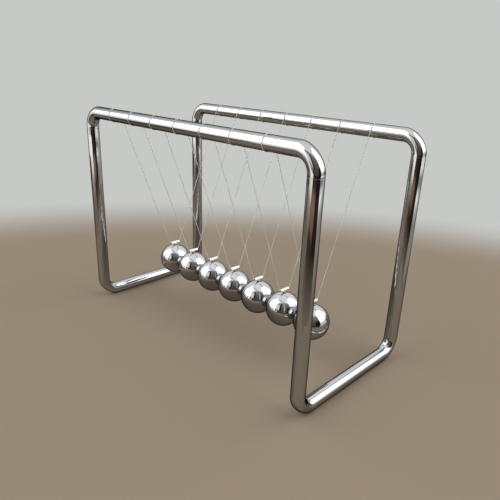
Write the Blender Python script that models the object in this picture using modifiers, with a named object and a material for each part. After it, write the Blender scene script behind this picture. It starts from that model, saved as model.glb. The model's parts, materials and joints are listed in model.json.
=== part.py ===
"""Seven-ball newtons cradle on a bent-tube stand.

Metres, +Z up. The origin is on the floor under the middle ball, +X runs along the
row of balls and +Y to the rear rail. Every ball hangs on one clear line that is
threaded through the small cross tube on top of it and tied to both top rails.
"""
from math import acos, atan2, cos, hypot, pi, radians, sin

import bmesh
import bpy
from mathutils import Vector

# Stand of bent tube: two top rails plugged into two U-shaped end frames
TUBE_DIAMETER = 0.0080
TUBE_WALL = 0.0010
BEND_RADIUS = 0.0100
RAIL_SPACING = 0.0910
RAIL_HEIGHT = 0.1330
END_SPACE = 0.0291
BEND_STEPS = 6
TUBE_SIDES = 16
BORE_SIDES = 12

# Plug joint between a rail's necked end and the leg under it
JOINT_STUB = 0.0010
JOINT_GAP = 0.0003
JOINT_ROUND = 0.0002
JOINT_STEP = 0.00005
NECK_LENGTH = 0.0120
NECK_CLEARANCE = 0.0002
NECK_WALL = 0.0008

# Row of balls
BALL_COUNT = 7
BALL_DIAMETER = 0.0220
BALL_GAP = 0.0003
BALL_LIFT = 0.0243
BALL_SIDES = 24
BALL_ARC_STEPS = 12

# Hanger on each ball: a cross tube for the line, on a shouldered pin
HANGER_LENGTH = 0.0070
HANGER_WALL = 0.00045
HANGER_RISE = 0.0009
HANGER_SIDES = 12
PIN_DIAMETER = 0.0015
PIN_DEPTH = 0.0045
PIN_CLEARANCE = 0.0002
PIN_CHAMFER = 0.0003
SHOULDER_DIAMETER = 0.0026
SHOULDER_HEIGHT = 0.0006
SHOULDER_RIM = 0.0002
SHOULDER_SEAT = 0.0002

# Clear line and the collars that tie it to the rails
LINE_DIAMETER = 0.0004
LINE_CLEARANCE = 0.0003
LINE_BEND = 0.0008
LINE_BEND_STEPS = 4
LINE_SIDES = 8
LINE_SEAT = 0.00025
COLLAR_WIDTH = 0.0007
COLLAR_WALL = 0.0004
COLLAR_CLEARANCE = 0.0002
COLLAR_DOME_STEPS = 5
COLLAR_SIDES = 16

# Modelling values: how far a cutter runs past a face, the weld distance and the sharp edges
CUT_PAST = 0.0010
WELD = 1e-6
SHARP_ANGLE = radians(40)

# Places that follow from the sizes above
TUBE_RADIUS = TUBE_DIAMETER / 2
BORE_RADIUS = TUBE_RADIUS - TUBE_WALL
NECK_RADIUS = BORE_RADIUS * cos(pi / BORE_SIDES) - NECK_CLEARANCE
BALL_RADIUS = BALL_DIAMETER / 2
BALL_PITCH = BALL_DIAMETER + BALL_GAP
HANGER_BORE = LINE_DIAMETER + 2 * LINE_CLEARANCE
HANGER_RADIUS = HANGER_BORE / 2 + HANGER_WALL
COLLAR_BORE = TUBE_RADIUS / cos(pi / COLLAR_SIDES) + COLLAR_CLEARANCE
COLLAR_RADIUS = COLLAR_BORE + COLLAR_WALL

LEG_X = BALL_PITCH * (BALL_COUNT - 1) / 2 + END_SPACE
RAIL_Y = RAIL_SPACING / 2
FOOT_Z = TUBE_RADIUS * cos(pi / TUBE_SIDES)
RAIL_Z = FOOT_Z + RAIL_HEIGHT
SEAM_DROP = BEND_RADIUS + JOINT_STUB
BALL_Z = FOOT_Z + BALL_LIFT
HANGER_Z = BALL_Z + BALL_RADIUS + HANGER_RISE + HANGER_RADIUS

CHROME = ((0.80, 0.80, 0.81), 0.06, 1.0)
POLISHED_STEEL = ((0.78, 0.78, 0.80), 0.03, 1.0)
BRIGHT_METAL = ((0.86, 0.83, 0.76), 0.16, 1.0)
CLEAR_NYLON = ((0.82, 0.80, 0.74), 0.25, 0.0)
CLEAR_SILICONE = ((0.86, 0.87, 0.86), 0.40, 0.0)


def clear_scene():
    for thing in list(bpy.data.objects):
        bpy.data.objects.remove(thing, do_unlink=True)


def principled(name, look):
    """A Principled material from a colour, a roughness and a metallic value."""
    colour, roughness, metallic = look
    made = bpy.data.materials.new(name)
    made.use_nodes = True
    shader = made.node_tree.nodes["Principled BSDF"]
    shader.inputs["Base Color"].default_value = (*colour, 1.0)
    shader.inputs["Roughness"].default_value = roughness
    shader.inputs["Metallic"].default_value = metallic
    return made


def new_collection(name):
    made = bpy.data.collections.new(name)
    bpy.context.scene.collection.children.link(made)
    return made


def work_object(name, data):
    """A helper object whose evaluated mesh is taken over by baked()."""
    made = bpy.data.objects.new(name, data)
    made.hide_render = True
    made.display_type = "WIRE"
    tools.objects.link(made)
    return made


def baked(worked):
    """The evaluated mesh of a helper object, welded, smooth shaded and sharp at its edges."""
    bpy.context.view_layer.update()
    seen = worked.evaluated_get(bpy.context.evaluated_depsgraph_get())
    mesh = bpy.data.meshes.new_from_object(seen)
    shape = bmesh.new()
    shape.from_mesh(mesh)
    bmesh.ops.remove_doubles(shape, verts=shape.verts, dist=WELD)
    shape.to_mesh(mesh)
    shape.free()
    mesh.shade_smooth()
    mesh.set_sharp_from_angle(angle=SHARP_ANGLE)
    bpy.data.objects.remove(worked, do_unlink=True)
    return mesh


def swept(name, points, radii, sides):
    """A round solid along a path, with its own radius at each point and a flat turned down."""
    curve = bpy.data.curves.new(name, "CURVE")
    curve.dimensions = "3D"
    curve.bevel_depth = 1.0
    curve.bevel_resolution = sides // 2 - 2
    curve.use_fill_caps = True
    spline = curve.splines.new("POLY")
    spline.points.add(len(points) - 1)
    for place, point, radius in zip(spline.points, points, radii):
        place.co = (*point, 1.0)
        place.radius = radius
        place.tilt = pi / sides
    return baked(work_object(name, curve))


def turned(name, profile, sides, closed=False):
    """A solid of revolution round Z from (radius, height) points, outer side from top to bottom."""
    mesh = bpy.data.meshes.new(name)
    edges = [(k, k + 1) for k in range(len(profile) - 1)]
    if closed:
        edges.append((len(profile) - 1, 0))
    mesh.from_pydata([(radius, 0.0, height) for radius, height in profile], edges, [])
    worked = work_object(name, mesh)
    screw = worked.modifiers.new("turn", "SCREW")
    screw.steps = sides
    screw.render_steps = sides
    screw.use_merge_vertices = True
    screw.merge_threshold = WELD
    return baked(worked)


def combined(name, mesh, other, operation):
    """Two solids put through a Boolean: UNION joins them and DIFFERENCE cuts the second out."""
    worked = work_object(name, mesh)
    helper = work_object(name + "_tool", other)
    boolean = worked.modifiers.new(operation.lower(), "BOOLEAN")
    boolean.operation = operation
    boolean.solver = "EXACT"
    boolean.object = helper
    made = baked(worked)
    bpy.data.objects.remove(helper, do_unlink=True)
    return made


def part(name, mesh, look, location, rotation=(0.0, 0.0, 0.0), parent=None):
    """Places one named sub-part, with a material of its own, on its parent or in the world."""
    made = bpy.data.objects.new(name, mesh.copy())
    made.data.name = name
    made.data.materials.append(principled(name, look))
    made.location = location
    made.rotation_euler = rotation
    made.parent = parent
    cradle.objects.link(made)
    return made


def arc(centre, radius, start, end, steps):
    """Points on an arc in a plane, angles in radians."""
    angles = [start + (end - start) * k / steps for k in range(steps + 1)]
    return [(centre[0] + radius * cos(a), centre[1] + radius * sin(a)) for a in angles]


def mirrored(half):
    """A half outline of (across, up) points and the same half seen in a mirror at zero."""
    return half + [(-across, up) for across, up in reversed(half)]


def across(reach):
    """The two ends of a straight piece that lies along Y."""
    return [Vector((0.0, -reach, 0.0)), Vector((0.0, reach, 0.0))]


def rail_mesh():
    """Top rail with both bends and the necks that plug into the legs, about its own axis."""
    seam = -SEAM_DROP
    bend = arc((BEND_RADIUS - LEG_X, -BEND_RADIUS), BEND_RADIUS, pi, pi / 2, BEND_STEPS)
    neck_end = (-LEG_X, seam - NECK_LENGTH)
    shoulder = [(-LEG_X, seam), (-LEG_X, seam + JOINT_STEP), (-LEG_X, seam + JOINT_ROUND)]
    half = [neck_end] + shoulder + bend
    half_radii = [NECK_RADIUS, NECK_RADIUS, TUBE_RADIUS - JOINT_ROUND]
    half_radii += [TUBE_RADIUS] * (len(half) - len(half_radii))
    outside = [Vector((x, 0.0, z)) for x, z in mirrored(half)]
    outer = swept("rail", outside, half_radii + half_radii[::-1], TUBE_SIDES)

    below_neck = (-LEG_X, seam - NECK_LENGTH - CUT_PAST)
    half = [below_neck, (-LEG_X, seam)] + bend
    neck_bore = NECK_RADIUS - NECK_WALL
    half_radii = [neck_bore, neck_bore] + [BORE_RADIUS] * len(bend)
    inside = [Vector((x, 0.0, z)) for x, z in mirrored(half)]
    bore = swept("rail_bore", inside, half_radii + half_radii[::-1], BORE_SIDES)
    return combined("rail", outer, bore, "DIFFERENCE")


def end_frame_mesh():
    """U-shaped end frame, two legs and the cross rail on the floor, about the cross rail's axis."""
    top = RAIL_HEIGHT - SEAM_DROP - JOINT_GAP
    bend = arc((BEND_RADIUS - RAIL_Y, BEND_RADIUS), BEND_RADIUS, pi, 3 * pi / 2, BEND_STEPS)
    half = [(-RAIL_Y, top), (-RAIL_Y, top - JOINT_ROUND)] + bend
    half_radii = [TUBE_RADIUS - JOINT_ROUND] + [TUBE_RADIUS] * (len(half) - 1)
    outside = [Vector((0.0, y, z)) for y, z in mirrored(half)]
    outer = swept("end_frame", outside, half_radii + half_radii[::-1], TUBE_SIDES)

    half = [(-RAIL_Y, top + CUT_PAST)] + bend
    inside = [Vector((0.0, y, z)) for y, z in mirrored(half)]
    bore = swept("end_frame_bore", inside, [BORE_RADIUS] * len(inside), BORE_SIDES)
    return combined("end_frame", outer, bore, "DIFFERENCE")


def collar_mesh():
    """Clear collar round a rail: a ring of D section, flat on the rail and domed outside."""
    dome = arc((0.0, 0.0), 1.0, pi / 2, -pi / 2, COLLAR_DOME_STEPS)
    profile = [(COLLAR_BORE + COLLAR_WALL * out, COLLAR_WIDTH / 2 * along) for out, along in dome]
    return turned("collar", profile, COLLAR_SIDES, closed=True)


def ball_mesh():
    """Ball about its centre, with the blind hole on top that the hanger's pin sits in."""
    hole = PIN_DIAMETER / 2 + PIN_CLEARANCE
    hole_floor = BALL_RADIUS - PIN_DEPTH - PIN_CLEARANCE
    rim_angle = acos(hole / BALL_RADIUS)
    skin = arc((0.0, 0.0), BALL_RADIUS, rim_angle, -pi / 2, BALL_ARC_STEPS)
    skin[-1] = (0.0, -BALL_RADIUS)
    return turned("ball", [(0.0, hole_floor), (hole, hole_floor)] + skin, BALL_SIDES)


def hanger_mesh():
    """Cross tube and shouldered pin in one piece, about the tube's middle."""
    ball_top = BALL_Z + BALL_RADIUS - HANGER_Z
    seat = ball_top + SHOULDER_SEAT
    pin = PIN_DIAMETER / 2
    tip = ball_top - PIN_DEPTH
    profile = [
        (0.0, 0.0),
        (pin, 0.0),
        (pin, ball_top + SHOULDER_HEIGHT),
        (SHOULDER_DIAMETER / 2, seat + SHOULDER_RIM),
        (SHOULDER_DIAMETER / 2, seat),
        (pin, seat),
        (pin, tip + PIN_CHAMFER),
        (pin - PIN_CHAMFER, tip),
        (0.0, tip),
    ]
    stem = turned("hanger", profile, HANGER_SIDES)
    reach = HANGER_LENGTH / 2
    sleeve = swept("sleeve", across(reach), [HANGER_RADIUS] * 2, HANGER_SIDES)
    bore = swept("sleeve_bore", across(reach + CUT_PAST), [HANGER_BORE / 2] * 2, HANGER_SIDES)
    body = combined("hanger", stem, sleeve, "UNION")
    return combined("hanger", body, bore, "DIFFERENCE")


def line_half():
    """Front half of a line in the YZ plane: off the rail's collar, down, and into the cross tube.

    The straight run is the cross tangent of two circles, one round the rail that clears
    the collar and one at the mouth of the cross tube.
    """
    seat_radius = COLLAR_RADIUS + LINE_SEAT + LINE_DIAMETER / 2
    mouth_y = -HANGER_LENGTH / 2
    bend_z = HANGER_Z + LINE_BEND
    inward = mouth_y + RAIL_Y
    up = bend_z - RAIL_Z
    normal = atan2(up, inward) + acos((seat_radius + LINE_BEND) / hypot(inward, up))
    tie = (-RAIL_Y + seat_radius * cos(normal), RAIL_Z + seat_radius * sin(normal))
    bend = arc((mouth_y, bend_z), LINE_BEND, normal + pi, 3 * pi / 2, LINE_BEND_STEPS)
    return [tie] + bend


def line_mesh(pivot_z):
    """The line from rail to rail, about the hinge axis through its two tied ends."""
    route = [Vector((0.0, y, z - pivot_z)) for y, z in mirrored(line_half())]
    return swept("line", route, [LINE_DIAMETER / 2] * len(route), LINE_SIDES)


def build():
    rail = rail_mesh()
    part("front_top_rail", rail, CHROME, (0.0, -RAIL_Y, RAIL_Z))
    part("rear_top_rail", rail, CHROME, (0.0, RAIL_Y, RAIL_Z))
    end_frame = end_frame_mesh()
    part("left_end_frame", end_frame, CHROME, (-LEG_X, 0.0, FOOT_Z))
    part("right_end_frame", end_frame, CHROME, (LEG_X, 0.0, FOOT_Z))

    pivot_z = line_half()[0][1]
    collar = collar_mesh()
    ball = ball_mesh()
    hanger = hanger_mesh()
    line = line_mesh(pivot_z)
    for k in range(BALL_COUNT):
        number = k + 1
        x = (k - (BALL_COUNT - 1) / 2) * BALL_PITCH
        along_rail = (0.0, pi / 2, 0.0)
        part(f"front_collar_{number}", collar, CLEAR_SILICONE, (x, -RAIL_Y, RAIL_Z), along_rail)
        part(f"rear_collar_{number}", collar, CLEAR_SILICONE, (x, RAIL_Y, RAIL_Z), along_rail)

        pivot = bpy.data.objects.new(f"pivot_{number}", None)
        pivot.empty_display_size = BALL_RADIUS
        pivot.location = (x, 0.0, pivot_z)
        cradle.objects.link(pivot)
        part(f"line_{number}", line, CLEAR_NYLON, (0.0, 0.0, 0.0), parent=pivot)
        part(f"hanger_{number}", hanger, BRIGHT_METAL, (0.0, 0.0, HANGER_Z - pivot_z), parent=pivot)
        part(f"ball_{number}", ball, POLISHED_STEEL, (0.0, 0.0, BALL_Z - pivot_z), parent=pivot)


clear_scene()
cradle = new_collection("newtons_cradle")
tools = new_collection("cutters")
build()
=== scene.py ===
"""Looks of the seven-ball newtons cradle: chrome tube stand, polished balls, clear lines.

Metres, +Z up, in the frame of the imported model. Every shape is a grid of points worked
out with numpy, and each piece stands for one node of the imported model.
"""
import json
from math import acos, atan2, cos, hypot, pi, radians, sin

import bmesh
import bpy
import numpy as np
from mathutils import Matrix, Vector


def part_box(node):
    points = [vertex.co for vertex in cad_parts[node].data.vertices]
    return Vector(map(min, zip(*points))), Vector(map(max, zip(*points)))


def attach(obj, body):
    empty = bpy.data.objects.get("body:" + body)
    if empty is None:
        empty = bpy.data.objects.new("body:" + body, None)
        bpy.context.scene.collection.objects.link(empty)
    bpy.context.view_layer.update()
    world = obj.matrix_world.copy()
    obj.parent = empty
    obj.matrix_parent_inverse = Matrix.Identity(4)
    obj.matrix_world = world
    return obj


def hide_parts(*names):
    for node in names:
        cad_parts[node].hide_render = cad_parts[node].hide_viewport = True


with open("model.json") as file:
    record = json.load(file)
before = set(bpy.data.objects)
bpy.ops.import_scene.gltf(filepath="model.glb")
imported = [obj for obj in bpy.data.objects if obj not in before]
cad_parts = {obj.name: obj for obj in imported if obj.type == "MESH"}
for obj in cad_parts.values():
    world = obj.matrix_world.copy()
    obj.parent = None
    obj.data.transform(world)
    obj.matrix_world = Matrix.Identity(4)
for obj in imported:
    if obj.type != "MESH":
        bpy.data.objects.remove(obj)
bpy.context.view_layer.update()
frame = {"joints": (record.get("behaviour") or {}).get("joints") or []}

# Tube stand
TUBE_RADIUS = 0.0040
BORE_RADIUS = 0.0030
BEND_RADIUS = 0.0100
TUBE_SIDES = 64
RING_STEP = 0.0030
BEND_RINGS = 28
BEND_OUTER_FLAT = 0.150
BEND_INNER_FLAT = 0.020
BEND_SIDE_SWELL = 0.025
BEND_RIPPLE = 0.010
BEND_RIPPLES = 3.0
CAD_TUBE_SIDES = 16

# Plug joint under each upper bend
JOINT_STUB = 0.0010
JOINT_GAP = 0.00006
JOINT_ROUND = 0.00006
JOINT_ROUND_STEPS = 5
NECK_LENGTH = 0.0120
NECK_RADIUS = 0.0027
NECK_BORE = 0.0019

# Balls and their hangers
BALL_RADIUS = 0.0110
BALL_SIDES = 96
BALL_ROWS = 72
HOLE_RADIUS = 0.00095
HOLE_DEPTH = 0.0047
CONTACT_SPREAD = 0.13
HANGER_LENGTH = 0.0070
HANGER_RADIUS = 0.00095
HANGER_BORE = 0.0005
HANGER_RISE = 0.0009
HANGER_EDGE = 0.00012
HANGER_SIDES = 40
PIN_RADIUS = 0.00075
PIN_DEPTH = 0.0045
PIN_CHAMFER = 0.0003
SHOULDER_RADIUS = 0.0013
SHOULDER_SEAT = 0.0001
SHOULDER_RIM = 0.0002
SHOULDER_HEIGHT = 0.0006
FILLET_ALONG = 0.00120
FILLET_ACROSS = 0.00084
FILLET_STEPS = 8

# Lines and collars
LINE_RADIUS = 0.0002
LINE_BEND = 0.0008
LINE_BEND_STEPS = 10
LINE_SIDES = 12
LINE_SINK = 0.00012
KNOT_RADIUS = 0.00036
COLLAR_BORE = 0.00402
COLLAR_WIDTH = 0.00048
COLLAR_RADIUS = 0.00430
COLLAR_SIDES = 72
COLLAR_DOME_STEPS = 12

# Modelling values
WELD = 1e-7
SHARP_ANGLE = radians(40)

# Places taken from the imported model, whose tubes lie on the flats of their sides
rail_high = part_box("front_top_rail")[1]
frame_low, frame_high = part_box("right_end_frame")
FACET_DROP = TUBE_RADIUS * (1 - cos(pi / CAD_TUBE_SIDES))
LEG_X = rail_high.x - TUBE_RADIUS
RAIL_Y = frame_high.y - TUBE_RADIUS
RAIL_Z = rail_high.z - TUBE_RADIUS + FACET_DROP
FOOT_Z = frame_low.z + TUBE_RADIUS - FACET_DROP
SEAM_Z = RAIL_Z - BEND_RADIUS - JOINT_STUB
BALL_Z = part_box("ball_1")[0].z + BALL_RADIUS
HANGER_Z = BALL_Z + BALL_RADIUS + HANGER_RISE + HANGER_RADIUS
FLOOR_Z = FOOT_Z - TUBE_RADIUS


def skin(name, sheets):
    """One mesh object from grids of points (rows, columns, 3), each with its rows closed or not.

    Columns always close. A grid's corners are joined in quads; rows drawn to a point become
    poles. UV is the length along the rows and the length round the columns, in metres. A sheet
    whose signed volume comes out negative has its faces turned, so that all point outwards.
    """
    points, quads, lengths = [], [], []
    start = 0
    corners = [(0, 0), (0, 1), (1, 1), (1, 0)]
    for grid, closed in sheets:
        rows, columns = grid.shape[:2]
        ring = np.concatenate([grid, grid[:1]]) if closed else grid
        steps = np.linalg.norm(np.diff(ring, axis=0), axis=2).mean(axis=1)
        along = np.concatenate([[0.0], np.cumsum(steps)])
        round_steps = np.linalg.norm(grid - np.roll(grid, -1, axis=1), axis=2)
        around = np.linspace(0.0, round_steps.sum(axis=1).max(), columns + 1)
        i, j = np.mgrid[0:len(steps), 0:columns]
        places = [(i + a) % rows * columns + (j + b) % columns for a, b in corners]
        quad = np.stack(places, axis=-1).reshape(-1, 4)
        unrolled = [np.stack([along[i + a], around[j + b]], axis=-1) for a, b in corners]
        length = np.stack(unrolled, axis=-2).reshape(-1, 4, 2)
        flat = grid.reshape(-1, 3)
        p, q, r, s = (flat[quad[:, k]] - flat.mean(axis=0) for k in range(4))
        volume = (np.cross(p, q) * r + np.cross(p, r) * s).sum()
        if volume < 0:
            quad = quad[:, ::-1]
            length = length[:, ::-1]
        points.append(flat)
        quads.append(quad + start)
        lengths.append(length)
        start += len(flat)
    mesh = bpy.data.meshes.new(name)
    mesh.from_pydata(np.concatenate(points), [], np.concatenate(quads))
    layer = mesh.uv_layers.new(name="unrolled")
    layer.data.foreach_set("uv", np.concatenate(lengths).ravel())
    shape = bmesh.new()
    shape.from_mesh(mesh)
    bmesh.ops.remove_doubles(shape, verts=shape.verts, dist=WELD)
    shape.to_mesh(mesh)
    shape.free()
    mesh.shade_smooth()
    mesh.set_sharp_from_angle(angle=SHARP_ANGLE)
    made = bpy.data.objects.new(name, mesh)
    bpy.context.scene.collection.objects.link(made)
    return made


def dress(piece, body, slot, material, *nodes):
    """Gives a piece its finish, the body it moves with and the node it stands for."""
    piece.data.materials.append(material)
    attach(piece, body)
    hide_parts(*nodes)


def turns(count):
    """Angles of a closed ring of points."""
    return np.linspace(0.0, 2 * pi, count, endpoint=False)


def spun(profile, sides, centre, axis):
    """Surface of revolution: each (radius, height) point of the profile goes round the axis."""
    profile = np.asarray(profile)
    angle = turns(sides)
    radius = profile[:, :1]
    height = np.repeat(profile[:, 1:], sides, axis=1)
    parts = {"z": (radius * np.cos(angle), radius * np.sin(angle), height),
             "y": (radius * np.sin(angle), height, radius * np.cos(angle)),
             "x": (height, radius * np.cos(angle), radius * np.sin(angle))}
    return np.stack(parts[axis], axis=-1) + np.asarray(centre)


def quarter(centre, radius, start, end, steps):
    """Points of an arc in a plane."""
    angle = np.linspace(start, end, steps + 1)
    return np.asarray(centre) + radius * np.stack([np.cos(angle), np.sin(angle)], axis=-1)


def straight(start, end, step):
    """Points from start up to, but not at, end, no further apart than step."""
    start, end = np.asarray(start), np.asarray(end)
    count = max(2, int(np.ceil(np.linalg.norm(end - start) / step)))
    return start + (end - start) * np.arange(count)[:, None] / count


def tube_sheet(half, place):
    """Closed tube along a path in a plane: outer skin out along the path, bore back along it.

    half holds one row per ring of the first half of the path: across, up, the outward normal
    (across, up), outer radius, bore radius and how far through a bend it is, or -1. The
    second half is its mirror image. In a bend the section is drawn in on the outside of the
    bend, a little on the inside, swells sideways and ripples along the inside, each with
    sin^2 of the way through the bend.
    """
    flip = np.array([-1.0, 1.0, -1.0, 1.0, 1.0, 1.0, 1.0])
    rings = np.concatenate([half, (half * flip)[-2::-1]])
    angle = turns(TUBE_SIDES)
    out, side = np.cos(angle), np.sin(angle)
    through = rings[:, 6:7]
    bent = np.where(through >= 0, np.sin(pi * through) ** 2, 0.0)
    inner = np.maximum(-out, 0.0)
    change = BEND_SIDE_SWELL * side ** 2 - BEND_OUTER_FLAT * np.maximum(out, 0.0) ** 2
    change = change - BEND_INNER_FLAT * inner ** 2
    ripple = BEND_RIPPLE * inner ** 3 * np.cos(2 * pi * BEND_RIPPLES * through)
    outer = rings[:, 4:5] * (1 + bent * (change + ripple))
    bore = np.repeat(rings[:, 5:6], TUBE_SIDES, axis=1)
    radius = np.concatenate([outer, bore[::-1]])
    both = np.concatenate([rings, rings[::-1]])
    across = both[:, 0:1] + radius * out * both[:, 2:3]
    up = both[:, 1:2] + radius * out * both[:, 3:4]
    return np.stack(place(across, up, radius * side), axis=-1), True


def ring_rows(points, normals, outer, bore, through):
    """Rows of tube_sheet from points and normals, with single values spread over all rows."""
    rows = np.zeros((len(points), 7))
    rows[:, 0:2] = points
    rows[:, 2:4] = normals
    rows[:, 4] = outer
    rows[:, 5] = bore
    rows[:, 6] = through
    return rows


def bend_rows(centre, start, end):
    """Rings round a bend about its centre, from one angle to the other."""
    normals = quarter((0.0, 0.0), 1.0, start, end, BEND_RINGS)
    through = np.linspace(0.0, 1.0, BEND_RINGS + 1)
    points = np.asarray(centre) + BEND_RADIUS * normals
    return ring_rows(points, normals, TUBE_RADIUS, BORE_RADIUS, through)


def rim_rows(x, edge_z, inwards):
    """The rounded rim at a seam: a quarter round from the end face to the tube's full radius.

    One more ring close behind it keeps the shading of the rim off the straight tube.
    """
    angle = np.linspace(0.0, pi / 2, JOINT_ROUND_STEPS + 1)
    depth = np.append(JOINT_ROUND * (1 - np.cos(angle)), 2 * JOINT_ROUND)
    radius = np.append(TUBE_RADIUS - JOINT_ROUND * (1 - np.sin(angle)), TUBE_RADIUS)
    points = np.stack([np.full_like(depth, x), edge_z + inwards * depth], axis=-1)
    return ring_rows(points, (-1.0, 0.0), radius, BORE_RADIUS, -1.0)


def rail_piece(name, y):
    """Top rail: neck, seam rim and bend at each end, and the straight run between them."""
    tip_z = SEAM_Z - NECK_LENGTH
    neck_points = [(-LEG_X, tip_z), (-LEG_X, tip_z + PIN_CHAMFER), (-LEG_X, SEAM_Z)]
    neck_radii = [NECK_RADIUS - PIN_CHAMFER, NECK_RADIUS, NECK_RADIUS]
    neck = ring_rows(neck_points, (-1.0, 0.0), neck_radii, NECK_BORE, -1.0)
    rim = rim_rows(-LEG_X, SEAM_Z, 1.0)
    bend = bend_rows((BEND_RADIUS - LEG_X, RAIL_Z - BEND_RADIUS), pi, pi / 2)
    run = straight((BEND_RADIUS - LEG_X, RAIL_Z), (0.0, RAIL_Z), RING_STEP)[1:]
    run = np.concatenate([run, [(0.0, RAIL_Z)]])
    flat = ring_rows(run, (0.0, 1.0), TUBE_RADIUS, BORE_RADIUS, -1.0)
    half = np.concatenate([neck, rim, bend, flat])
    return skin(name, [tube_sheet(half, lambda a, u, s: (a, y + s, u))])


def end_frame_piece(name, x):
    """U-shaped end frame: rim, leg and bend on each side, and the cross rail on the floor."""
    top = SEAM_Z - JOINT_GAP
    rim = rim_rows(-RAIL_Y, top, -1.0)
    bend_z = FOOT_Z + BEND_RADIUS
    run = straight((-RAIL_Y, top - JOINT_ROUND), (-RAIL_Y, bend_z), RING_STEP)[1:]
    leg = ring_rows(run, (-1.0, 0.0), TUBE_RADIUS, BORE_RADIUS, -1.0)
    bend = bend_rows((BEND_RADIUS - RAIL_Y, bend_z), pi, 3 * pi / 2)
    run = straight((BEND_RADIUS - RAIL_Y, FOOT_Z), (0.0, FOOT_Z), RING_STEP)[1:]
    run = np.concatenate([run, [(0.0, FOOT_Z)]])
    cross = ring_rows(run, (0.0, -1.0), TUBE_RADIUS, BORE_RADIUS, -1.0)
    half = np.concatenate([rim, leg, bend, cross])
    return skin(name, [tube_sheet(half, lambda a, u, s: (x + s, a, u))])


def collar_piece(name, x, y):
    """Collar: a D section, half an ellipse on a flat, spun round the rail."""
    angle = np.linspace(pi / 2, -pi / 2, COLLAR_DOME_STEPS + 1)
    dome = COLLAR_RADIUS - COLLAR_BORE
    radius = COLLAR_BORE + dome * np.cos(angle)
    profile = np.stack([radius, COLLAR_WIDTH / 2 * np.sin(angle)], axis=-1)
    return skin(name, [(spun(profile, COLLAR_SIDES, (x, y, RAIL_Z), "x"), True)])


def ball_piece(name, x):
    """Ball: an arc from the rim of the pin hole to the lowest point, spun round the upright axis.

    The attribute contact is 1 where the neighbours knock and falls off as a bell curve.
    """
    rim_angle = acos(HOLE_RADIUS / BALL_RADIUS)
    skin_arc = quarter((0.0, 0.0), BALL_RADIUS, rim_angle, -pi / 2, BALL_ROWS)
    floor = BALL_RADIUS - HOLE_DEPTH
    profile = np.concatenate([[(0.0, floor), (HOLE_RADIUS, floor)], skin_arc])
    made = skin(name, [(spun(profile, BALL_SIDES, (x, 0.0, BALL_Z), "z"), False)])
    places = np.empty(len(made.data.vertices) * 3)
    made.data.vertices.foreach_get("co", places)
    sideways = np.abs(places[0::3] - x) / BALL_RADIUS
    knock = np.exp(-np.arccos(np.clip(sideways, 0.0, 1.0)) ** 2 / CONTACT_SPREAD ** 2)
    made.data.attributes.new("contact", "FLOAT", "POINT").data.foreach_set("value", knock)
    return made


def hanger_piece(name, x):
    """Hanger: a cross tube with rounded ends, and a stem that flares into it from the ball."""
    reach = HANGER_LENGTH / 2
    edge = HANGER_RADIUS - HANGER_EDGE
    outer = quarter((edge, reach - HANGER_EDGE), HANGER_EDGE, pi / 2, 0.0, JOINT_ROUND_STEPS)
    mirrored = outer[::-1] * (1.0, -1.0)
    bore = [(HANGER_BORE, -reach), (HANGER_BORE, reach)]
    sleeve = spun(np.concatenate([outer, mirrored, bore]), HANGER_SIDES, (x, 0.0, HANGER_Z), "y")

    ball_top = BALL_Z + BALL_RADIUS
    seat = ball_top + SHOULDER_SEAT
    tip = ball_top - PIN_DEPTH
    neck_z = ball_top + SHOULDER_HEIGHT
    profile = [(0.0, tip), (PIN_RADIUS - PIN_CHAMFER, tip), (PIN_RADIUS, tip + PIN_CHAMFER),
               (PIN_RADIUS, seat), (SHOULDER_RADIUS - HANGER_EDGE, seat),
               (SHOULDER_RADIUS, seat + HANGER_EDGE), (SHOULDER_RADIUS, seat + SHOULDER_RIM),
               (SHOULDER_RADIUS - HANGER_EDGE, seat + SHOULDER_RIM + HANGER_EDGE),
               (PIN_RADIUS, neck_z)]
    stem = spun(profile, HANGER_SIDES, (x, 0.0, 0.0), "z")

    angle = turns(HANGER_SIDES)
    share = np.linspace(0.0, 1.0, FILLET_STEPS + 1)[1:, None]
    flare = 1 - np.sqrt(1 - share ** 2)
    side = (PIN_RADIUS + (FILLET_ACROSS - PIN_RADIUS) * flare) * np.cos(angle)
    along = (PIN_RADIUS + (FILLET_ALONG - PIN_RADIUS) * flare) * np.sin(angle)
    under = HANGER_Z - np.sqrt(HANGER_RADIUS ** 2 - (FILLET_ACROSS * np.cos(angle)) ** 2)
    up = neck_z + (under - neck_z) * share
    fillet = np.stack([x + side, along, up], axis=-1)
    crown = np.zeros((1, HANGER_SIDES, 3)) + (x, 0.0, HANGER_Z - (HANGER_RADIUS + HANGER_BORE) / 2)
    stem = np.concatenate([stem, fillet, crown])
    made = skin(name, [(sleeve, True), (stem, False)])
    places = np.empty(len(made.data.vertices) * 3)
    made.data.vertices.foreach_get("co", places)
    # foot is a painted shade: none on the cross tube, growing to full down the stem beneath it
    painted_stem_shade = np.clip((HANGER_Z - HANGER_RADIUS / 2 - places[2::3]) / HANGER_RADIUS, 0.0, 1.0)
    made.data.attributes.new("foot", "FLOAT", "POINT").data.foreach_set("value", painted_stem_shade)
    return made


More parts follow.
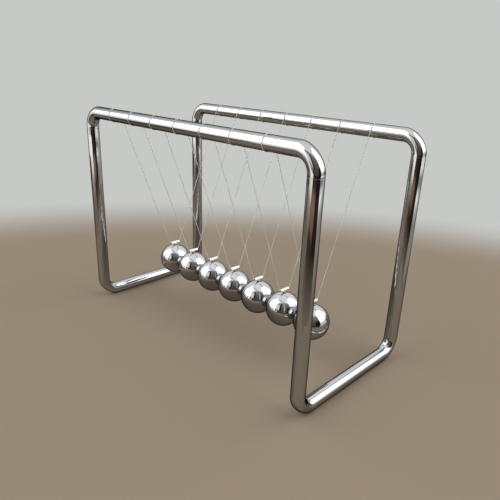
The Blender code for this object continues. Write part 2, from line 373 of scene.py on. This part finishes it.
def line_piece(name, x, pivot_z):
    """Line: a thin tube along the cross tangent from the collar to the cross tube's mouth.

    The run is tangent to a circle round the rail, a little sunk in the collar, and to one at
    the mouth of the cross tube, and starts at the pivot's height; the other half is its mirror
    image. A small round knot sits on each tied end.
    """
    seat = COLLAR_RADIUS - LINE_SINK + LINE_RADIUS
    mouth = (-HANGER_LENGTH / 2, HANGER_Z + LINE_BEND)
    inward, up = mouth[0] + RAIL_Y, mouth[1] - RAIL_Z
    normal = atan2(up, inward) + acos((seat + LINE_BEND) / hypot(inward, up))
    spare = (pivot_z - RAIL_Z - seat * sin(normal)) / cos(normal)
    tie = (-RAIL_Y + seat * cos(normal) - spare * sin(normal), pivot_z)
    bend = quarter(mouth, LINE_BEND, normal + pi, 3 * pi / 2, LINE_BEND_STEPS)
    run = straight(tie, bend[0], RING_STEP)
    half = np.concatenate([run, bend])
    path = np.concatenate([half, half[::-1] * (-1.0, 1.0)])
    tangent = np.gradient(path, axis=0)
    tangent /= np.linalg.norm(tangent, axis=1, keepdims=True)
    angle = turns(LINE_SIDES)
    radius = np.full((len(path), 1), LINE_RADIUS)
    radius[[0, -1]] = 0.0
    y = path[:, :1] - radius * np.cos(angle) * tangent[:, 1:]
    z = path[:, 1:] + radius * np.cos(angle) * tangent[:, :1]
    tube = np.stack([x + radius * np.sin(angle), y, z], axis=-1)
    ball = quarter((0.0, 0.0), KNOT_RADIUS, pi / 2, -pi / 2, LINE_SIDES)
    knots = [spun(ball, 2 * LINE_SIDES, (x, side * tie[0], pivot_z), "z") for side in (1, -1)]
    return skin(name, [(tube, False)] + [(knot, False) for knot in knots])


def linear(hex_colour):
    """An sRGB hex colour as linear RGBA."""
    srgb = np.array([int(hex_colour[k:k + 2], 16) for k in (1, 3, 5)]) / 255
    rgb = np.where(srgb <= 0.04045, srgb / 12.92, ((srgb + 0.055) / 1.055) ** 2.4)
    return (*rgb, 1.0)


def add_node(tree, kind, settings=None, values=None, links=None):
    """Adds a node with its properties, socket values and links into its sockets."""
    made = tree.nodes.new(kind)
    for key, value in (settings or {}).items():
        setattr(made, key, value)
    for key, value in (values or {}).items():
        made.inputs[key].default_value = value
    for key, source in (links or {}).items():
        tree.links.new(source, made.inputs[key])
    return made


def material(name):
    """An empty material, its node tree and its Principled shader."""
    made = bpy.data.materials.new(name)
    made.use_nodes = True
    return made, made.node_tree, made.node_tree.nodes["Principled BSDF"]


def per_size(millimetres):
    """Scale of a pattern on coordinates in metres that repeats about every so many millimetres."""
    return 1000.0 / millimetres


# Finishes: sizes of the patterns in millimetres, and roughness from and to
DRAW_LINE_LENGTH = 40
DRAW_LINE_WIDTH = 0.5
PLATE_CLOUD = 14
PLATE_WAVE = 6
PLATE_WAVE_DEPTH = 0.000012
CHROME_ROUGHNESS = (0.022, 0.060)
POLISH_HAZE = 5
STEEL_ROUGHNESS = (0.012, 0.032)
KNOCK_ROUGHNESS = 0.012
TURNING_MARK_LENGTH = 3
TURNING_MARK_WIDTH = 0.15
HANGER_ROUGHNESS = (0.20, 0.36)
NYLON_FLECK = 4
NYLON_ROUGHNESS = 0.06
NYLON_IOR = 1.53
SILICONE_MILK = 2
SILICONE_ROUGHNESS = (0.30, 0.45)
SILICONE_IOR = 1.41

# Chromium and steel send back less light near the grazing angle than a plain mirror does. Both
# are set darker than the real ones, a painted shade for the dark outline that the photograph shows.
CHROME_RIM = "#202020"
STEEL_RIM = "#8A8A8A"


def chrome_plate():
    """Bright chrome on drawn steel tube: a mirror with faint draw lines along the tube."""
    made, tree, shader = material("chrome_plate")
    unrolled = add_node(tree, "ShaderNodeUVMap", {"uv_map": "unrolled"})
    drawn = add_node(tree, "ShaderNodeMapping",
                     values={"Scale": (per_size(DRAW_LINE_LENGTH), per_size(DRAW_LINE_WIDTH), 1.0)},
                     links={"Vector": unrolled.outputs["UV"]})
    lines = add_node(tree, "ShaderNodeTexNoise", values={"Scale": 1.0, "Detail": 3.0},
                     links={"Vector": drawn.outputs["Vector"]})
    where = add_node(tree, "ShaderNodeTexCoord")
    clouds = add_node(tree, "ShaderNodeTexNoise",
                      values={"Scale": per_size(PLATE_CLOUD), "Detail": 2.0},
                      links={"Vector": where.outputs["Object"]})
    shade = add_node(tree, "ShaderNodeMix", {"data_type": "RGBA"},
                     {"A": linear("#B2B3B4"), "B": linear("#BCBDBE")},
                     {"Factor": clouds.outputs["Fac"]})
    rough = add_node(tree, "ShaderNodeMapRange",
                     values={"From Min": 0.3, "From Max": 0.75,
                             "To Min": CHROME_ROUGHNESS[0], "To Max": CHROME_ROUGHNESS[1]},
                     links={"Value": lines.outputs["Fac"]})
    wave = add_node(tree, "ShaderNodeTexNoise",
                    values={"Scale": per_size(PLATE_WAVE), "Detail": 1.0},
                    links={"Vector": where.outputs["Object"]})
    bump = add_node(tree, "ShaderNodeBump", values={"Strength": 1.0, "Distance": PLATE_WAVE_DEPTH},
                    links={"Height": wave.outputs["Fac"]})
    tree.links.new(shade.outputs["Result"], shader.inputs["Base Color"])
    tree.links.new(rough.outputs["Result"], shader.inputs["Roughness"])
    tree.links.new(bump.outputs["Normal"], shader.inputs["Normal"])
    shader.inputs["Metallic"].default_value = 1.0
    shader.inputs["Specular Tint"].default_value = linear(CHROME_RIM)
    return made


def polished_steel():
    """Ground and polished bearing steel: a clean mirror, dulled where the balls knock."""
    made, tree, shader = material("polished_steel")
    where = add_node(tree, "ShaderNodeTexCoord")
    haze = add_node(tree, "ShaderNodeTexNoise",
                    values={"Scale": per_size(POLISH_HAZE), "Detail": 3.0},
                    links={"Vector": where.outputs["Object"]})
    contact = add_node(tree, "ShaderNodeAttribute", {"attribute_name": "contact"})
    shade = add_node(tree, "ShaderNodeMix", {"data_type": "RGBA"},
                     {"A": linear("#C0C1C3"), "B": linear("#B8B8BA")},
                     {"Factor": contact.outputs["Fac"]})
    clean = add_node(tree, "ShaderNodeMapRange",
                     values={"From Min": 0.35, "From Max": 0.75,
                             "To Min": STEEL_ROUGHNESS[0], "To Max": STEEL_ROUGHNESS[1]},
                     links={"Value": haze.outputs["Fac"]})
    rough = add_node(tree, "ShaderNodeMath", {"operation": "MULTIPLY_ADD"}, {1: KNOCK_ROUGHNESS},
                     {0: contact.outputs["Fac"], 2: clean.outputs["Result"]})
    tree.links.new(shade.outputs["Result"], shader.inputs["Base Color"])
    tree.links.new(rough.outputs["Value"], shader.inputs["Roughness"])
    shader.inputs["Metallic"].default_value = 1.0
    shader.inputs["Specular Tint"].default_value = linear(STEEL_RIM)
    return made


def bright_steel():
    """Bright drawn steel of the hangers: a satin metal, a little warm, with fine turning marks.

    The stem is darker: a painted shade under the cross tube.
    """
    made, tree, shader = material("bright_drawn_steel")
    unrolled = add_node(tree, "ShaderNodeUVMap", {"uv_map": "unrolled"})
    drawn = add_node(tree, "ShaderNodeMapping",
                     values={"Scale": (per_size(TURNING_MARK_LENGTH),
                                       per_size(TURNING_MARK_WIDTH), 1.0)},
                     links={"Vector": unrolled.outputs["UV"]})
    lines = add_node(tree, "ShaderNodeTexNoise", values={"Scale": 1.0, "Detail": 2.0},
                     links={"Vector": drawn.outputs["Vector"]})
    bright = add_node(tree, "ShaderNodeMix", {"data_type": "RGBA"},
                      {"A": linear("#E6E0D2"), "B": linear("#F6F2E8")},
                      {"Factor": lines.outputs["Fac"]})
    # foot darkens the base colour down the stem, a painted shade under the cross tube
    foot = add_node(tree, "ShaderNodeAttribute", {"attribute_name": "foot"})
    shade = add_node(tree, "ShaderNodeMix", {"data_type": "RGBA"}, {"B": linear("#8C867A")},
                     {"A": bright.outputs["Result"], "Factor": foot.outputs["Fac"]})
    rough = add_node(tree, "ShaderNodeMapRange",
                     values={"To Min": HANGER_ROUGHNESS[0], "To Max": HANGER_ROUGHNESS[1]},
                     links={"Value": lines.outputs["Fac"]})
    tree.links.new(shade.outputs["Result"], shader.inputs["Base Color"])
    tree.links.new(rough.outputs["Result"], shader.inputs["Roughness"])
    shader.inputs["Metallic"].default_value = 1.0
    return made


def clear_nylon():
    """Nylon monofilament: a pale, half-clear thread with a soft gloss."""
    made, tree, shader = material("nylon_monofilament")
    unrolled = add_node(tree, "ShaderNodeUVMap", {"uv_map": "unrolled"})
    bits = add_node(tree, "ShaderNodeTexNoise",
                    values={"Scale": per_size(NYLON_FLECK), "Detail": 2.0},
                    links={"Vector": unrolled.outputs["UV"]})
    shade = add_node(tree, "ShaderNodeMix", {"data_type": "RGBA"},
                     {"A": linear("#F4F1EA"), "B": linear("#FFFDF8")},
                     {"Factor": bits.outputs["Fac"]})
    tree.links.new(shade.outputs["Result"], shader.inputs["Base Color"])
    shader.inputs["Roughness"].default_value = NYLON_ROUGHNESS
    shader.inputs["IOR"].default_value = NYLON_IOR
    shader.inputs["Transmission Weight"].default_value = 0.35
    shader.inputs["Subsurface Weight"].default_value = 1.0
    shader.inputs["Subsurface Radius"].default_value = (1.0, 1.0, 1.0)
    shader.inputs["Subsurface Scale"].default_value = 2 * LINE_RADIUS
    return made


def clear_silicone():
    """Moulded silicone of the collars: milky and half clear, with a dull skin."""
    made, tree, shader = material("milky_silicone")
    where = add_node(tree, "ShaderNodeTexCoord")
    milk = add_node(tree, "ShaderNodeTexNoise",
                    values={"Scale": per_size(SILICONE_MILK), "Detail": 2.0},
                    links={"Vector": where.outputs["Object"]})
    shade = add_node(tree, "ShaderNodeMix", {"data_type": "RGBA"},
                     {"A": linear("#E4E7E5"), "B": linear("#F4F6F4")},
                     {"Factor": milk.outputs["Fac"]})
    rough = add_node(tree, "ShaderNodeMapRange",
                     values={"To Min": SILICONE_ROUGHNESS[0], "To Max": SILICONE_ROUGHNESS[1]},
                     links={"Value": milk.outputs["Fac"]})
    tree.links.new(shade.outputs["Result"], shader.inputs["Base Color"])
    tree.links.new(rough.outputs["Result"], shader.inputs["Roughness"])
    shader.inputs["IOR"].default_value = SILICONE_IOR
    shader.inputs["Transmission Weight"].default_value = 0.25
    return made


def build_pieces():
    """Every piece of the cradle, on the body that carries it."""
    chrome = chrome_plate()
    steel = polished_steel()
    satin = bright_steel()
    nylon = clear_nylon()
    silicone = clear_silicone()
    for place, y in (("front", -RAIL_Y), ("rear", RAIL_Y)):
        rail = rail_piece(f"{place}_rail_tube", y)
        dress(rail, "stand", "chrome_tube", chrome, f"{place}_top_rail")
    for place, x in (("left", -LEG_X), ("right", LEG_X)):
        tube = end_frame_piece(f"{place}_frame_tube", x)
        dress(tube, "stand", "chrome_tube", chrome, f"{place}_end_frame")
    for number, joint in enumerate(frame["joints"], start=1):
        x, _, pivot_z = joint["pos_m"]
        body = joint["child"]
        for place, y in (("front", -RAIL_Y), ("rear", RAIL_Y)):
            collar = collar_piece(f"{place}_ring_{number}", x, y)
            dress(collar, "stand", "clear_collar", silicone, f"{place}_collar_{number}")
        line = line_piece(f"thread_{number}", x, pivot_z)
        dress(line, body, "clear_line", nylon, f"line_{number}")
        hanger = hanger_piece(f"cross_tube_{number}", x)
        dress(hanger, body, "bright_hanger", satin, f"hanger_{number}")
        ball = ball_piece(f"steel_ball_{number}", x)
        dress(ball, body, "polished_ball", steel, f"ball_{number}")


# Stage: floor, cards, lamps and camera
FLOOR_COLOUR = "#AB9B88"
WALL_COLOUR = "#C7C9C6"
HIGH_WALL = 1.20
FLOOR_REACH = 6.0
POOL_CENTRE = (0.28, -0.29, 0.0)
POOL_INNER = 0.58
POOL_OUTER = 0.74
AMBIENT = 0.26
WALL_RISE = (0.11, 0.22)
CARD_LIFT = 0.001
SECTOR_STEPS = 24
# FLOOR_EDGE is a painted copy of the lit floor's tone, a little darker, where the cards start
FLOOR_EDGE = "#8A7D6D"

# Cards on the floor, seen in reflections only: azimuths from and to, then tones as
# (distance, colour) or (distance, colour, strength), with a strength of 1 where none is given
# Their tones are painted reflections: browns and near-blacks for shaded floor and a dark room, and
# in some sectors a painted sheen that turns white further out
FLOOR_CARDS = {
    # A painted shadow: a dark disc under the row of balls, seen only in reflections
    "row_card": (-180.0, 180.0, [
        (0.001, "#61574D"), (0.05, "#6A5F55"), (0.11, FLOOR_EDGE)]),
    "left_card": (-90.0, -66.0, [
        (0.45, FLOOR_EDGE), (0.52, "#62655F"), (3.0, "#787C76")]),
    "near_left_card": (-66.0, -50.0, [
        (0.24, FLOOR_EDGE), (0.33, "#6A6258"), (0.62, "#5E5850"), (0.70, "#A8A6A2"),
        (0.78, "#FFFFFF", 1.5), (3.0, "#FFFFFF", 2.0)]),
    "stripe_card": (-50.0, -38.0, [
        (0.24, FLOOR_EDGE), (0.33, "#7E7468"), (0.49, "#8A8074"), (0.54, "#221F1C"),
        (0.66, "#221F1C"), (0.69, "#C4C2BE"), (0.75, "#FFFFFF", 1.6), (3.0, "#FFFFFF", 2.0)]),
    "bright_card": (-38.0, -24.0, [
        (0.22, FLOOR_EDGE), (0.30, "#8E8478"), (0.45, "#ACA59C"), (0.58, "#FFFAF2"),
        (0.74, "#FFFFFF", 1.6), (3.0, "#FFFFFF", 2.0)]),
    "pale_card": (-24.0, 8.0, [
        (0.21, FLOOR_EDGE), (0.34, "#8C8073"), (0.44, "#B8AFA4"), (0.47, "#C8BFB4"),
        (0.53, "#FFF8EE", 1.2), (0.72, "#FFFDF8", 1.7), (3.0, "#FFFFFF", 1.7)]),
    "brown_card": (8.0, 52.0, [
        (0.19, FLOOR_EDGE), (0.23, "#7A6E62"), (0.28, "#62554A"), (0.33, "#463A32"),
        (0.37, "#4C3E34"), (0.42, "#92745F"), (0.50, "#A2806A"), (0.56, "#9A7A66"),
        (0.62, "#4A3E36"), (0.78, "#3C3732"), (3.0, "#2C2A28")]),
    "dark_card": (52.0, 92.0, [
        (0.21, FLOOR_EDGE), (0.25, "#746859"), (0.30, "#5A4E44"), (0.35, "#30271F"),
        (0.42, "#302822"), (0.50, "#3C322C"), (0.62, "#262220"), (3.0, "#1C1A19")]),
    "right_card": (92.0, 118.0, [
        (0.21, FLOOR_EDGE), (0.26, "#A8A29A"), (0.40, "#A8A29A"), (0.47, "#E0DEDA"),
        (0.54, "#FFFFFF", 1.6), (0.58, "#FFFFFF", 1.2), (0.63, "#A8A8A8"), (0.70, "#A8A8A8"),
        (0.78, "#FFFFFF", 1.4), (3.0, "#FFFFFF", 1.4)]),
    "far_right_card": (118.0, 150.0, [
        (0.245, FLOOR_EDGE), (0.29, "#B4B0AC"), (0.40, "#B4B0AC"), (0.48, "#D8DADC"),
        (0.56, "#F0F2F4"), (0.63, "#B4B6B8"), (0.70, "#B4B6B8"), (0.78, "#FFFFFF", 1.4),
        (3.0, "#FFFFFF", 1.4)]),
}

# Upright cards round the cradle, in degrees and metres: azimuth, distance and width, then tones
# as above, with the height in place of the distance
# The softboxes are glowing cards that light nothing: painted highlights for the chrome, which
# doesn't mirror the lamps below
UPRIGHT_CARDS = {
    "left_softbox": (-41.0, 1.06, 1.28, [
        (0.14, "#FFFFFF", 3.2), (2.06, "#FFFFFF", 3.2), (2.10, "#C4C4C8"), (2.28, "#C4C4C8")]),
    "right_softbox": (127.0, 1.0, 1.32, [
        (0.0, "#E4E4E4"), (0.14, "#F0F0F0"), (0.26, "#FFFFFF", 1.6), (0.34, "#FFFFFF", 3.8),
        (2.6, "#FFFFFF", 3.8), (2.66, "#C4C4C8"), (2.9, "#C4C4C8")]),
    "right_skirt": (155.0, 0.98, 0.56, [
        (0.0, "#2E2C2A"), (0.09, "#2E2C2A"), (0.13, "#8E8E8E")]),
    "low_softbox": (-20.0, 0.97, 0.66, [
        (0.0, "#F4F2EE", 1.2), (0.06, "#FFFFFF", 1.6), (0.20, "#FFFFFF", 1.8)]),
    "softbox_post": (-14.0, 0.98, 0.028, [
        (0.10, "#4A4846"), (0.80, "#4A4846")]),
    "left_blocker": (-27.0, 0.90, 0.09, [
        (0.02, "#1E1B19"), (0.15, "#1E1B19")]),
    "middle_blocker": (-7.0, 0.90, 0.12, [
        (0.02, "#1E1B19"), (0.22, "#1E1B19")]),
    "right_blocker": (10.0, 0.90, 0.16, [
        (0.0, "#1E1B19"), (0.17, "#1E1B19")]),
    "grey_card": (43.0, 1.0, 2.2, [
        (0.0, "#564F4A"), (0.30, "#625E5A"), (0.90, "#868685"), (1.7, "#B0B1B2")]),
    "pale_panel": (2.0, 0.95, 0.44, [
        (0.0, "#B8B6B2"), (0.14, "#DCDAD6"), (0.30, "#F4F3F0", 1.2), (0.70, "#F4F3F0", 1.2),
        (1.0, "#929291")]),
    "dark_strip": (23.0, 0.9, 0.16, [
        (0.20, "#242220"), (1.1, "#2C2A28")]),
    "low_dark_card": (82.0, 0.92, 0.46, [
        (0.0, "#1A1816"), (0.34, "#22201E"), (0.48, "#6E6A66")]),
}

# Soft lamps: azimuth, elevation, distance, width, height and radiance
LAMPS = {
    "left_lamp": (-42.0, 35.0, 1.3, 1.7, 1.4, 1.3),
    "right_lamp": (128.0, 42.0, 1.3, 1.7, 1.3, 1.3),
}

CAMERA_PLACE = (0.2220, -0.21264, 0.16962)
CAMERA_AZIMUTH = radians(44.42)
CAMERA_ELEVATION = radians(20.53)
CAMERA_ROLL = 0.03814
CAMERA_LENS = 35.44
CAMERA_SENSOR = 36.0
CAMERA_NEAR = 0.005


def stage_piece(name, rows, made):
    """A piece of the stage from rows of points, joined in quads."""
    rows = np.asarray(rows)
    count, across = rows.shape[:2]
    i, j = np.mgrid[0:count - 1, 0:across - 1]
    first = (i * across + j).ravel()
    quads = np.stack([first, first + 1, first + across + 1, first + across], axis=-1)
    mesh = bpy.data.meshes.new(name)
    mesh.from_pydata(rows.reshape(-1, 3), [], quads)
    mesh.materials.append(made)
    piece = bpy.data.objects.new(name, mesh)
    bpy.context.scene.collection.objects.link(piece)
    return piece


def floor_material():
    """Plain pale floor, matt as felt paper is: warm by the cradle, fading into pale grey.

    It has no gloss, so that it doesn't mirror the cards just above it.
    """
    made, tree, shader = material("pale_floor")
    where = add_node(tree, "ShaderNodeTexCoord")
    away = add_node(tree, "ShaderNodeVectorMath", {"operation": "DISTANCE"}, {1: POOL_CENTRE},
                    {0: where.outputs["Object"]})
    fade = add_node(tree, "ShaderNodeMapRange", {"interpolation_type": "SMOOTHSTEP"},
                    {"From Min": POOL_INNER, "From Max": POOL_OUTER},
                    {"Value": away.outputs["Value"]})
    shader.inputs["Base Color"].default_value = linear(FLOOR_COLOUR)
    shader.inputs["Roughness"].default_value = 0.9
    shader.inputs["Specular IOR Level"].default_value = 0.0
    far = add_node(tree, "ShaderNodeEmission", values={"Color": linear(WALL_COLOUR)})
    both = add_node(tree, "ShaderNodeMixShader",
                    links={0: fade.outputs["Result"], 1: shader.outputs["BSDF"],
                           2: far.outputs["Emission"]})
    tree.links.new(both.outputs["Shader"], tree.nodes["Material Output"].inputs["Surface"])
    return made


def card_material():
    """Studio card: shows the tone that is kept at its points, whatever light falls on it."""
    made, tree, shader = material("studio_card")
    glow = add_node(tree, "ShaderNodeAttribute", {"attribute_name": "glow"})
    tree.links.new(glow.outputs["Color"], shader.inputs["Emission Color"])
    shader.inputs["Emission Strength"].default_value = 1.0
    shader.inputs["Base Color"].default_value = (0.0, 0.0, 0.0, 1.0)
    shader.inputs["Specular IOR Level"].default_value = 0.0
    return made


def studio_card(name, rows, tones, made):
    """A card seen in reflections only: no camera ray meets it, and it lights and shades nothing.

    Each row of points has one tone, a colour and a strength, and the tones shade into each other.
    """
    card = stage_piece(name, rows, made)
    glow = np.array([np.array(linear(colour)) * (strength or [1.0])[0]
                     for _, colour, *strength in tones])
    spread = np.repeat(glow, np.shape(rows)[1], axis=0)
    kept = card.data.attributes.new("glow", "FLOAT_COLOR", "POINT")
    kept.data.foreach_set("color", spread.ravel())
    card.visible_camera = False
    card.visible_diffuse = False
    card.visible_shadow = False


def floor_card(name, start, end, tones, made):
    """A card on the floor, cut as a sector of a flat ring between two azimuths."""
    angle = np.radians(np.linspace(start, end, SECTOR_STEPS + 1))
    level = np.full_like(angle, FLOOR_Z + CARD_LIFT)
    rows = [np.stack([reach * np.sin(angle), -reach * np.cos(angle), level], axis=-1)
            for reach, *_ in tones]
    studio_card(name, rows, tones, made)


def upright_card(name, azimuth, distance, width, tones, made):
    """An upright card that stands off the cradle and faces it."""
    a = radians(azimuth)
    foot = np.array((sin(a), -cos(a), 0.0)) * distance
    side = np.array((cos(a), sin(a), 0.0)) * width / 2
    rows = [(foot - side + (0.0, 0.0, height), foot + side + (0.0, 0.0, height))
            for height, *_ in tones]
    studio_card(name, rows, tones, made)


def soft_lamp(name, azimuth, elevation, distance, width, height, radiance):
    """A rectangular soft lamp that faces the cradle, given by the radiance of its face."""
    lamp = bpy.data.lights.new(name, "AREA")
    lamp.shape = "RECTANGLE"
    lamp.size = width
    lamp.size_y = height
    lamp.energy = radiance * pi * width * height
    a, e = radians(azimuth), radians(elevation)
    away = Vector((sin(a) * cos(e), -cos(a) * cos(e), sin(e)))
    made = bpy.data.objects.new(name, lamp)
    made.location = Vector((0.0, 0.0, RAIL_Z / 2)) + away * distance
    made.rotation_euler = away.to_track_quat("Z", "Y").to_euler()
    made.visible_camera = False
    made.visible_glossy = False
    bpy.context.scene.collection.objects.link(made)


def world_light():
    """Pale grey surroundings, lighter above the picture's upper edge.

    They are seen as they are, and are softer as a light on matt surfaces.
    """
    world = bpy.data.worlds.new("pale_room")
    world.use_nodes = True
    tree = world.node_tree
    where = add_node(tree, "ShaderNodeTexCoord")
    ray = add_node(tree, "ShaderNodeSeparateXYZ", links={"Vector": where.outputs["Generated"]})
    rise = add_node(tree, "ShaderNodeMapRange", {"interpolation_type": "SMOOTHSTEP"},
                    {"From Min": WALL_RISE[0], "From Max": WALL_RISE[1]},
                    {"Value": ray.outputs["Z"]})
    shade = add_node(tree, "ShaderNodeMix", {"data_type": "RGBA"},
                     {"A": linear(WALL_COLOUR), "B": (HIGH_WALL, HIGH_WALL, HIGH_WALL, 1.0)},
                     {"Factor": rise.outputs["Result"]})
    path = add_node(tree, "ShaderNodeLightPath")
    seen = add_node(tree, "ShaderNodeMath", {"operation": "MAXIMUM"},
                    links={0: path.outputs["Is Camera Ray"], 1: path.outputs["Is Glossy Ray"]})
    through = add_node(tree, "ShaderNodeMath", {"operation": "MAXIMUM"},
                       links={0: seen.outputs["Value"], 1: path.outputs["Is Transmission Ray"]})
    strength = add_node(tree, "ShaderNodeMapRange", values={"To Min": AMBIENT, "To Max": 1.0},
                        links={"Value": through.outputs["Value"]})
    back = tree.nodes["Background"]
    tree.links.new(shade.outputs["Result"], back.inputs["Color"])
    tree.links.new(strength.outputs["Result"], back.inputs["Strength"])
    bpy.context.scene.world = world


def build_stage():
    """Floor, cards, lamps and surroundings."""
    edge = np.array((-FLOOR_REACH, FLOOR_REACH))
    stage_piece("floor", [[(x, y, FLOOR_Z) for x in edge] for y in edge], floor_material())
    card = card_material()
    for name, (start, end, tones) in FLOOR_CARDS.items():
        floor_card(name, start, end, tones, card)
    for name, (azimuth, distance, width, tones) in UPRIGHT_CARDS.items():
        upright_card(name, azimuth, distance, width, tones, card)
    for name, settings in LAMPS.items():
        soft_lamp(name, *settings)
    world_light()


def build_camera():
    """Camera at the photograph's place, angle and roll."""
    data = bpy.data.cameras.new("camera")
    data.lens = CAMERA_LENS
    data.sensor_width = CAMERA_SENSOR
    data.clip_start = CAMERA_NEAR
    camera = bpy.data.objects.new("camera", data)
    a, e = CAMERA_AZIMUTH, CAMERA_ELEVATION
    back = Vector((sin(a) * cos(e), -cos(a) * cos(e), sin(e)))
    right = Vector((cos(a), sin(a), 0.0))
    up = back.cross(right)
    turned_right = right * cos(CAMERA_ROLL) + up * sin(CAMERA_ROLL)
    turned_up = up * cos(CAMERA_ROLL) - right * sin(CAMERA_ROLL)
    matrix = Matrix((turned_right, turned_up, back)).transposed().to_4x4()
    matrix.translation = CAMERA_PLACE
    camera.matrix_world = matrix
    bpy.context.scene.collection.objects.link(camera)
    bpy.context.scene.camera = camera


build_pieces()
build_stage()
build_camera()
bpy.context.scene.view_settings.view_transform = "Standard"
